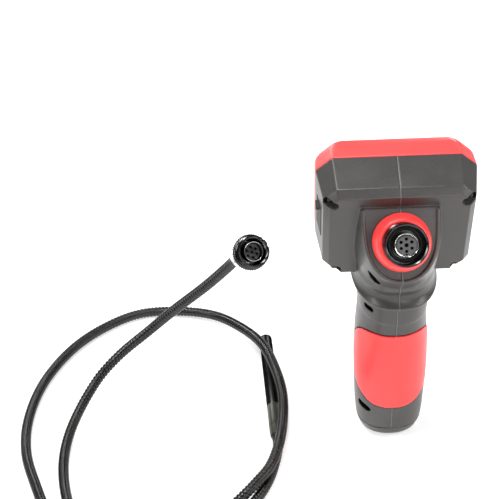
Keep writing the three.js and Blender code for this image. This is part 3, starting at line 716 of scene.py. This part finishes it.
def handle_ring(z, inset=0):
    knots = [row[0] for row in HANDLE_SKIN]
    front, back, half, power = (
        float(monotone(knots, [row[column] for row in HANDLE_SKIN], np.array(z))) for column in (1, 2, 3, 4)
    )
    ring = []
    for k in range(HANDLE_SIDES):
        angle = 2 * math.pi * (k + 0.5) / HANDLE_SIDES
        c, s = math.cos(angle), math.sin(angle)
        depth = front - inset if s < 0 else back - inset
        ring.append((
            (half - inset) * math.copysign(abs(c) ** (2 / power), c),
            depth * math.copysign(abs(s) ** (2 / power), s),
            z,
        ))
    return ring


def handle_skin(name, inset=0, low=0.0, high=None):
    high = HANDLE_SKIN[-1][0] if high is None else high
    knots = {row[0] for row in HANDLE_SKIN if low <= row[0] <= high} | {low, high}
    levels = sorted(knots | {round(float(z), 2) for z in np.arange(low + 0.75, high, 1.5)})
    levels = [z for k, z in enumerate(levels) if k == 0 or z - levels[k - 1] > 0.3 or z == high]
    return loft(name, [handle_ring(z, inset) for z in levels])


def in_front_of_port(offset):
    return block("front", (-FAR, -FAR, offset), (FAR, FAR, FAR), port_matrix())


def grip_space(name, grow=0.0):
    """What the grip's outline covers, right across the handle. The outline is drawn in depth and height."""
    top, bottom, corner, back = GRIP["top"], GRIP["bottom"], GRIP["corner_y"], GRIP["back_y"] + grow

    def bezier(a, b, c, d, steps=14):
        return [tuple(
            (1 - t) ** 3 * a[i] + 3 * t * (1 - t) ** 2 * b[i] + 3 * t * t * (1 - t) * c[i] + t ** 3 * d[i]
            for i in (0, 1)) for t in (k / steps for k in range(steps + 1))]

    outline = [(-60, top + 2 + grow)]
    outline += bezier((-31, top + grow), (-corner, top - 1 + grow), (back, top - 16), (back, top - 32))
    outline += bezier((back, bottom + 26), (back, bottom + 14), (-8, bottom + 5 - grow),
                      (-corner, bottom - grow))
    outline += [(-31, bottom - 11 - grow), (-60, bottom - 36 - grow)]
    sideways = Matrix(((0, 0, 1, 0), (1, 0, 0, 0), (0, 1, 0, 0), (0, 0, 0, 1)))
    return prism(name, outline, -40, 40, sideways)


def door_space(grow=0.0):
    return block("door_space", (-DOOR["half_x"] - grow, DOOR["inner_y"], DOOR["bottom"] - grow),
                 (DOOR["half_x"] + grow, 40, DOOR["top"] + grow))


def cover_space(grow=0.0):
    (low_y, low_z), (high_y, high_z) = PORT_COVER["low"], PORT_COVER["high"]
    return block("cover_space", (-60, low_y - grow, low_z - grow), (-40, high_y + grow, high_z + grow),
                 head_matrix())


def along_depth(x, z):
    """Turns a rod's length to run along the head's depth, towards the screen."""
    return head_matrix() @ Matrix.Translation((x, 0, z)) @ Matrix.Rotation(-math.pi / 2, 4, "X")


def across(y, z):
    """Turns a rod's length to run across the handle, at a depth and a height."""
    return Matrix.Translation((0, y, z)) @ Matrix.Rotation(math.pi / 2, 4, "Y")


# ---------------------------------------- housings and the handle's pieces

def housing_solid():
    shell = cut(handle_skin("housing"), in_front_of_port(RIM_RISE))
    join(shell, head_skin("head"))
    hollow = head_skin("hollow", WALL)
    for x, z in HEAD_SCREWS:
        cut(hollow, rod("column", 4.4, -28, 2, 24, along_depth(x, z)))
        cut(hollow, screw_well("pocket_wall", x, z, -22.4, 1.6))
    bore = cut(handle_skin("bore", WALL), in_front_of_port(-3))
    for y, z, _seat in HANDLE_SCREWS:
        cut(bore, rod("post", 4.2, -30, 30, 24, across(y, z)))
    cut(shell, hollow)
    cut(shell, bore)
    cut(shell, block("below", (-FAR, -FAR, -10), (FAR, FAR, CAP_TOP + GAP)))
    cut(shell, block("screen_side", (-60, 0, -BUMPER_SKIN[0][2] - GAP), (60, 60, 60), head_matrix()))
    cut(shell, keep(handle_skin("rim_inside", RIM_WIDTH), in_front_of_port(-RIM_DEPTH)))
    cut(shell, rod("socket_hole", 12.6, -20, 5, 48, port_matrix()))
    for x, z in HEAD_SCREWS:
        cut(shell, screw_well("well", x, z, -24))
        cut(shell, rod("screw_hole", 1.7, -40, 10, 16, along_depth(x, z)))
    for (y, z, seat), (lean, half, radius) in zip(HANDLE_SCREWS, SLOTS):
        cut(shell, rod("pocket", 3.1, seat - 2.6, seat, 32, across(y, z)))
        slot = across(y, z) @ Matrix.Rotation(math.radians(lean), 4, "Z")
        cut(shell, prism("slot", capsule(half, radius), -60, seat - 0.2, slot))
        cut(shell, rod("screw_hole", 1.7, seat - 5, 12, 16, across(y, z)))
    under_grip = handle_skin("under_grip", GRIP["thick"] - GRIP["proud"] + GAP)
    cut(shell, cut(grip_space("grip_seat", 1), under_grip))
    cut(shell, door_space(GAP))
    cut(shell, cut(cover_space(GAP), head_skin("under_cover", PORT_COVER["thick"] + GAP)))
    cut(shell, block("port_hole", (-60, -17, -5.5), (-44, -9, 11.5), head_matrix()))
    return shell


def painted_shade_liners(materials):
    """Black cups of painted shade that line the screw pockets of the head and the slanted slots of the
    handle.
    """
    for index, (x, z) in enumerate(HEAD_SCREWS):
        cup = cut(screw_well(f"pocket_shade_liner_{index + 1}", x, z, -23.7, 0.1),
                  screw_well("inside", x, z, -24.2, -0.35))
        keep(cup, head_skin("skin", 0.3))
        place(auto_smooth(cup), "handset", materials["pocket"], "black_rubber")
    for index, ((y, z, seat), (lean, half, radius)) in enumerate(zip(HANDLE_SCREWS, SLOTS)):
        slot = across(y, z) @ Matrix.Rotation(math.radians(lean), 4, "Z")
        cup = cut(prism(f"slot_shade_liner_{index + 1}", capsule(half + 0.1, radius + 0.1), -60, seat + 0.2, slot),
                  prism("inside", capsule(half - 0.35, radius - 0.35), -61, seat - 0.3, slot))
        keep(cup, handle_skin("skin", 0.3))
        place(auto_smooth(cup), "handset", materials["pocket"], "black_rubber")


def screw_well(name, x, z, deep, grow=0.0):
    """A dark angular pocket over a head screw, open towards the side of the head."""
    shape = [(-4.2, 0.2), (-4.4, -2), (-2.4, -4.2), (2, -4.2), (9, -2.6), (9, 2.2), (1, 2.4), (-2.6, 1.9)]
    outline = [(math.copysign(1, x) * (out + math.copysign(grow, out)),
                math.copysign(1, z) * (up + math.copysign(grow, up))) for out, up in shape]
    return prism(name, [(a, -b) for a, b in outline], -60, deep, along_depth(x, z))


def parting_bead():
    """The thin raised line that the mould leaves where the two housings meet; its lighter colour is a painted
    highlight.
    """
    bead = cut(handle_skin("bead", -0.14), in_front_of_port(RIM_RISE + 0.1))
    join(bead, head_skin("head", -0.14))
    inside = cut(handle_skin("inside", 0.6), in_front_of_port(-0.6))
    join(inside, head_skin("head", 0.6))
    cut(bead, inside)
    keep(bead, block("line", (-0.28, -FAR, CAP_TOP + 0.6), (0.28, FAR, FAR)))
    cut(bead, block("screen_side", (-60, -0.5, -60), (60, 60, 60), head_matrix()))
    cut(bead, rod("socket_hole", 14, -20, 5, 48, port_matrix()))
    cut(bead, grip_space("grip", GAP))
    cut(bead, door_space(GAP))
    return bead


def housings(materials):
    left = housing_solid()
    right = copy_of(left)
    keep(left, block("left_side", (-FAR, -FAR, -FAR), (-0.02, FAR, FAR)))
    keep(right, block("right_side", (0.02, -FAR, -FAR), (FAR, FAR, FAR)))
    for made, name in ((left, "left_housing"), (right, "right_housing")):
        made.name = name + "_moulded"
        soften(made, 0.42, 2, 0.26)
        place(made, "handset", materials["abs"], "charcoal_abs", name)
    bead = parting_bead()
    bead.name = "parting_line_bead"
    place(auto_smooth(bead), "handset", materials["bead"], "charcoal_abs")


def base_cap(materials):
    levels = [0, 0.25, 0.7, 1.3, 2, 3, 4, 5, 6, 7, 8, 9, 9.4]
    rings = [handle_ring(z) for z in levels] + [handle_ring(9.8, 0.4)]
    rings[0] = [(x * 0.985, y * 0.985, 0) for x, y, _z in rings[0]]
    cap = loft("base_cap_moulded", rings)
    cut(cap, loft("inside", [handle_ring(z, WALL) for z in (3, 5, 7, 10.4)]))
    place(auto_smooth(cap), "handset", materials["abs"], "charcoal_abs", "base_cap")


def grip(materials):
    skin = cut(handle_skin("grip_overmould_soft", -GRIP["proud"], 20, 110),
               handle_skin("inside", GRIP["thick"] - GRIP["proud"], 19, 111))
    keep(skin, grip_space("outline"))
    soften(skin, 0.5, 4, 0.5)
    place(skin, "handset", materials["coral"], "coral_rubber", "grip_overmould")


def battery_door(materials):
    door = cut(handle_skin("battery_door_moulded", 0, 15, 125), handle_skin("inside", DOOR["thick"], 14, 126))
    keep(door, door_space())
    seat = block("seat", (-LATCH["half_x"] - GAP, 10, LATCH["bottom"] - 2.8),
                 (LATCH["half_x"] + GAP, 40, LATCH["top"] + GAP))
    cut(door, cut(seat, handle_skin("floor", LATCH["thick"], 90, 125)))
    for k in range(5):
        z = 88 + k * 3.2
        cut(door, rod("groove", 0.9, -10 + k * 0.6, 10 - k * 0.6, 16, across(26.7, z)))
    soften(door, 0.45, 2, 0.5)
    place(door, "battery_door", materials["abs"], "charcoal_abs", "battery_door")
    latch = cut(handle_skin("battery_latch_moulded", -0.5, 100, 118),
                handle_skin("inside", LATCH["thick"] - GAP, 99, 119))
    keep(latch, block("outline", (-LATCH["half_x"], 10, LATCH["bottom"]),
                      (LATCH["half_x"], 40, LATCH["top"])))
    for z in (108.3, 109.5, 110.7):
        cut(latch, rod("groove", 0.3, -4, 4, 12, across(26.75, z)))
    place(auto_smooth(bevel(latch, 0.2)), "battery_latch", materials["rubber"],
          "black_rubber", "battery_latch")


def port_cover(materials):
    cover = cut(head_skin("port_cover_moulded", -0.3), head_skin("inside", PORT_COVER["thick"]))
    keep(cover, cover_space())
    lip = block("lip", (-51.4, -16.5, 12), (-49, -9.5, 13.6), head_matrix())
    join(cover, lip)
    soften(cover, 0.3, 3)
    place(cover, "port_cover", materials["rubber"], "black_rubber", "port_cover")


# ---------------------------------------- screen end

def bumper(materials):
    """The soft rim of the head, a closed ring whose front edge is rounded over."""
    depths = [row[0] for row in BUMPER_SKIN]
    at = np.array([0.3, 0.6, 1.2, 3, 5, 7, 9, 10.5, 12, 13.5, 15, 16, 17, 17.8, 18.4, 18.8, 19])
    columns = [monotone(depths, [row[c] for row in BUMPER_SKIN], at) for c in (1, 2, 3, 4)]
    rings = []
    for index, y in enumerate(at):
        inset = 0.35 if index == 0 else 0.08 if index == 1 else 0
        station = (y, *[float(column[index]) for column in columns])
        rings.append(octagon(station, inset, min(10.0, 2.0 + 0.8 * y), 8))
    half_x, half_z = FRAME_HALF
    inner = [(y, half_x + grow, half_z + grow, FRAME_CUT, FRAME_CUT)
             for y, grow in ((19, 0.9), (18.8, 0.4), (18.3, 0.05), (16, 0), (8, 0), (0.3, 0))]
    rings += [octagon(station, 0, 4.5, 8) for station in inner]
    made = loft("screen_bumper_soft", rings, head_matrix(), closed=True)
    place(auto_smooth(made, 50), "handset", materials["bumper"], "coral_rubber", "screen_bumper")


def capsule(half, radius, steps=12):
    right = [(half - radius + radius * math.cos(a), radius * math.sin(a))
             for a in (math.pi * (k / steps - 0.5) for k in range(steps + 1))]
    left = [(-x, -y) for x, y in right]
    return right + left


def screen_frame(materials):
    half_x, half_z = FRAME_HALF[0] - GAP, FRAME_HALF[1] - GAP
    solid = loft("screen_frame_moulded", [
        octagon((y, half_x, half_z, FRAME_CUT, FRAME_CUT), 0, 4.2, 6) for y in (0.4, FRAME_FRONT)
    ], head_matrix())
    behind = loft("behind", [
        octagon((y, 40, 31.4, 4, 4), 0, 2, 4) for y in (-1, FRAME_FRONT - 3)
    ], head_matrix())
    cut(solid, behind)
    wide, tall = VIEW[0] / 2, VIEW[1] / 2
    cut(solid, block("view", (-wide, 5, DISPLAY_Z - tall), (wide, 30, DISPLAY_Z + tall), head_matrix()))
    cut(solid, block("seat", (-wide - 2.3, FRAME_FRONT - 1.4, DISPLAY_Z - tall - 2.3),
                     (wide + 2.3, 30, DISPLAY_Z + tall + 2.3), head_matrix()))
    for x in button_places():
        cut(solid, prism("key_hole", capsule(4.6 + GAP, 2.4 + GAP), -30, -5, along_depth(x, BUTTON_Z)
                         @ Matrix.Rotation(math.pi, 4, "X")))
    bevel(solid, 0.35, 3, 40)
    place(auto_smooth(solid, 60), "handset", materials["plastic"], "black_plastic", "screen_frame")


def button_places():
    return [(k - 2) * BUTTON_STEP for k in range(5)]


def screen_window(materials):
    wide, tall = VIEW[0] / 2 + 2, VIEW[1] / 2 + 2
    pane = loft("screen_window_pane", [
        [(x, y, DISPLAY_Z + z) for x, z in rounded(
            [(-w, -t), (w, -t), (w, t), (-w, t)], 1.5, 4)]
        for y, w, t in ((FRAME_FRONT - 1.1, wide, tall), (FRAME_FRONT - 0.45, wide, tall),
                        (FRAME_FRONT - 0.2, wide - 0.25, tall - 0.25))
    ], head_matrix())
    place(auto_smooth(pane, 20), "handset", materials["glass"], "screen_glass", "screen_window")


def buttons(materials):
    names = ("power", "menu", "capture", "zoom", "light")
    for name, x in zip(names, button_places()):
        rings = []
        for y, shrink in ((-4.3, 0), (0.3, 0), (0.75, 0.12), (1.02, 0.4), (1.15, 0.9), (1.2, 1.5)):
            rings.append([(x + a, FRAME_FRONT + y, BUTTON_Z + b)
                          for a, b in capsule(4.6 - shrink, 2.4 - shrink)])
        key = loft(f"{name}_button_moulded", rings, head_matrix())
        place(auto_smooth(key, 40), f"{name}_button", materials["key"], "key_rubber", f"{name}_button")


# ---------------------------------------- connector

def socket_insert(matrix, materials):
    """The plastic insert with seven holes, the middle one wider, and a contact low in each, coloured near
    black as painted shade.
    """
    insert = rod("socket_insert_moulded", 6, 17.3, SOCKET_LENGTH - 3, 64, matrix)
    spots = [(0, 0), *six_around(SOCKET_PIN_RING)]
    hole_radii = [1.25] + 6 * [1]
    for (x, y), radius in zip(spots, hole_radii):
        cut(insert, rod("hole", radius, SOCKET_LENGTH - 8, SOCKET_LENGTH, 24,
                        matrix @ Matrix.Translation((x, y, 0))))
    cut(insert, block("key", (-0.9, -7, SOCKET_LENGTH - 7), (0.9, -5.1, SOCKET_LENGTH), matrix))
    bevel(insert, 0.15, 2)
    place(auto_smooth(insert), "handset", materials["insert"], "insert_plastic", "socket_insert")
    # The contacts take the near-black pocket finish, which is painted shade deep in each hole.
    for index, ((x, y), hole_radius) in enumerate(zip(spots, hole_radii)):
        radius = hole_radius - 0.03
        contact = turned(f"socket_contact_shade_{index + 1}", [
            (0.01, 22.1), (radius, 22.1), (radius, 26), (radius - 0.3, 26.1), (radius - 0.45, 25.2),
            (0.01, 25.2),
        ], 24, matrix @ Matrix.Translation((x, y, 0)))
        place(auto_smooth(contact), "handset", materials["pocket"], "black_rubber")


def connector(materials):
    matrix = port_matrix()
    face = -RIM_DEPTH + GAP
    collar = turned("connector_collar_soft", [
        (12.4, face), (18.0, face), (18.3, face + 0.3), (18.3, 1.6), (18.15, 2.6), (17.75, 5), (17.2, 7.6),
        (16.6, 9.9), (15.9, 11.5), (15.2, 12.5), (14.6, 13), (14.0, 13.2), (12.6, 13.2), (12.4, 13),
    ], 96, matrix)
    place(auto_smooth(collar, 50), "handset", materials["coral"], "coral_rubber", "connector_collar")

    profile = [(0.01, -11), (12.1, -11), (12.1, COLLAR_HEIGHT + GAP), (13.0, COLLAR_HEIGHT + GAP),
               (13.2, COLLAR_HEIGHT + 0.6), *ridged(13.2, 14.4, 22, 1.3, 0.35), (13.2, 22.6),
               (13.2, 29.2), (13.05, 29.7), (12.75, 30), (12.35, 30), (12.1, 29.8),
               *reversed(ridged(11.95, 20, 29.4, 0.95, -0.3)), (12, 18.7), (7.5, 18.5), (7.5, 17), (0.01, 17)]
    shell = turned("socket_shell_turned", profile, 128, matrix)
    place(auto_smooth(shell), "handset", materials["black_metal"], "black_metal", "socket_shell")

    ring = turned("socket_ring_bright", [
        (6.3, 17.3), (7.2, 17.3), (7.2, 27.9), (7.15, 28.2), (7.03, 28.3), (6.88, 28.2), (6.85, 24),
        (6.3, 24),
    ], 72, matrix)
    place(auto_smooth(ring), "handset", materials["bright"], "bright_ring", "socket_ring")
    seal = turned("socket_seal_ring", [
        (9.75 + 1.1 * math.cos(a), 19.9 + 1.1 * math.sin(a)) for a in (math.pi * k / 8 for k in range(16))
    ], 64, matrix)
    place(seal, "handset", materials["rubber"], "black_rubber", "socket_seal")
    socket_insert(matrix, materials)


def screw(name, node, length, matrix, materials):
    """A pan-head screw with a cross recess, its head away from its tip."""
    made = turned(name, [
        (0.01, 0), (0.6, 0), (1.4, 1.2), *ridged(1.4, 1.4, length - 2, 1.1, 0.25), (1.4, length),
        (2.55, length), (2.7, length + 0.2), (2.7, length + 0.9), (2.5, length + 1.35),
        (1.9, length + 1.75), (1, length + 1.9), (0.01, length + 1.9),
    ], 40, matrix)
    for turn in (0, math.pi / 2):
        cut(made, block("recess", (-1.5, -0.35, length + 0.7), (1.5, 0.35, length + 3),
                        matrix @ Matrix.Rotation(turn + 0.3, 4, "Z")))
    place(auto_smooth(made), "handset", materials["screw"], "dark_screw", node)


def screws(materials):
    head_screw_length = 31
    head_screw_tip = head_screw_length - 24 - GAP
    handle_screw_tip = 10.5
    for index, (x, z) in enumerate(HEAD_SCREWS):
        towards_rear = Matrix.Translation((x, head_screw_tip, z)) @ Matrix.Rotation(math.pi / 2, 4, "X")
        screw(f"head_screw_{index + 1}_turned", f"head_screw_{index + 1}", head_screw_length,
              head_matrix() @ towards_rear, materials)
    for index, (y, z, seat) in enumerate(HANDLE_SCREWS):
        length = handle_screw_tip - seat
        matrix = (Matrix.Translation((handle_screw_tip - GAP, y, z))
                  @ Matrix.Rotation(-math.pi / 2, 4, "Y"))
        screw(f"handle_screw_{index + 1}_turned", f"handle_screw_{index + 1}", length, matrix, materials)


def inner_pieces(materials):
    """The pieces inside the handset keep their CAD shapes and get finishes."""
    finishes = {
        "battery_cradle": "plastic", "contact_bridge": "tin", "contact_spring_1": "tin",
        "contact_spring_2": "tin", "display_module": "display", "keypad_mat": "rubber",
        "main_board": "board", "processor_shield": "tin", "usb_port": "tin", "card_reader": "tin",
        **{f"battery_cell_{k}": "cell" for k in range(1, 5)},
    }
    for node, finish in finishes.items():
        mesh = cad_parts[node].data
        mesh.materials.clear()
        mesh.materials.append(materials[finish])


# ---------------------------------------- stage and lights

def stage():
    reach = 4000
    corners = [(-reach, -reach, 0), (reach, -reach, 0), (reach, reach, 0), (-reach, reach, 0)]
    floor = mesh_object("floor", corners, [(0, 1, 2, 3)])
    material, _nodes, _links, shader = shader_graph("floor_white")
    shader.inputs["Base Color"].default_value = (0.75, 0.75, 0.75, 1)
    shader.inputs["Emission Color"].default_value = (1, 1, 1, 1)
    shader.inputs["Emission Strength"].default_value = 0.5
    shader.inputs["Roughness"].default_value = 0.9
    shader.inputs["Specular IOR Level"].default_value = 0.1
    floor.data.materials.append(material)


def area_light(name, place_at, target, size, power, size_y=None):
    light = bpy.data.lights.new(name, "AREA")
    light.energy = power
    light.size = size
    if size_y:
        light.shape = "RECTANGLE"
        light.size_y = size_y
    made = bpy.data.objects.new(name, light)
    scene.collection.objects.link(made)
    made.location = place_at
    made.rotation_euler = (Vector(target) - Vector(place_at)).to_track_quat("-Z", "Y").to_euler()


def lights():
    """A dim world and eight area lights: name, place, target, width, power and, if not square, height."""
    world = bpy.data.worlds.new("studio")
    scene.world = world
    world.use_nodes = True
    background = world.node_tree.nodes["Background"]
    background.inputs["Color"].default_value = (1, 1, 1, 1)
    background.inputs["Strength"].default_value = 0.12
    area_light("left_strip", (-1.0, -0.25, 0.8), (-0.05, 0, 0.1), 0.15, 5, 0.8)
    area_light("right_strip", (0.95, -0.2, 0.8), (-0.05, 0, 0.1), 0.25, 8, 1.1)
    area_light("front_strip", (0.1, -1.3, 0.38), (0, 0, 0.15), 0.9, 4, 0.22)
    area_light("front_right", (0.45, -1.2, 0.85), (0, 0, 0.2), 0.4, 4)
    area_light("key", (-0.14, -0.1, 1.3), (-0.12, 0, 0), 0.16, 6)
    area_light("top_box", (-0.55, 0.22, 1.2), (-0.1, 0, 0.1), 0.35, 8)
    area_light("back_left", (-0.6, 1.1, 0.5), (-0.1, 0, 0.1), 0.35, 4, 0.25)
    area_light("back_right", (0.4, 1.1, 0.55), (-0.1, 0, 0.1), 0.35, 3, 0.25)
    scene.view_settings.view_transform = "Standard"


# ---------------------------------------- the whole scene

add_camera()
finishes = make_materials()
hose, hose_path = gooseneck(finishes)
for make in (plug_pieces, imager_pieces, housings, painted_shade_liners, base_cap, grip, battery_door, port_cover,
             bumper, screen_frame, screen_window, buttons, connector, screws, inner_pieces):
    make(finishes)
stage()
lights()
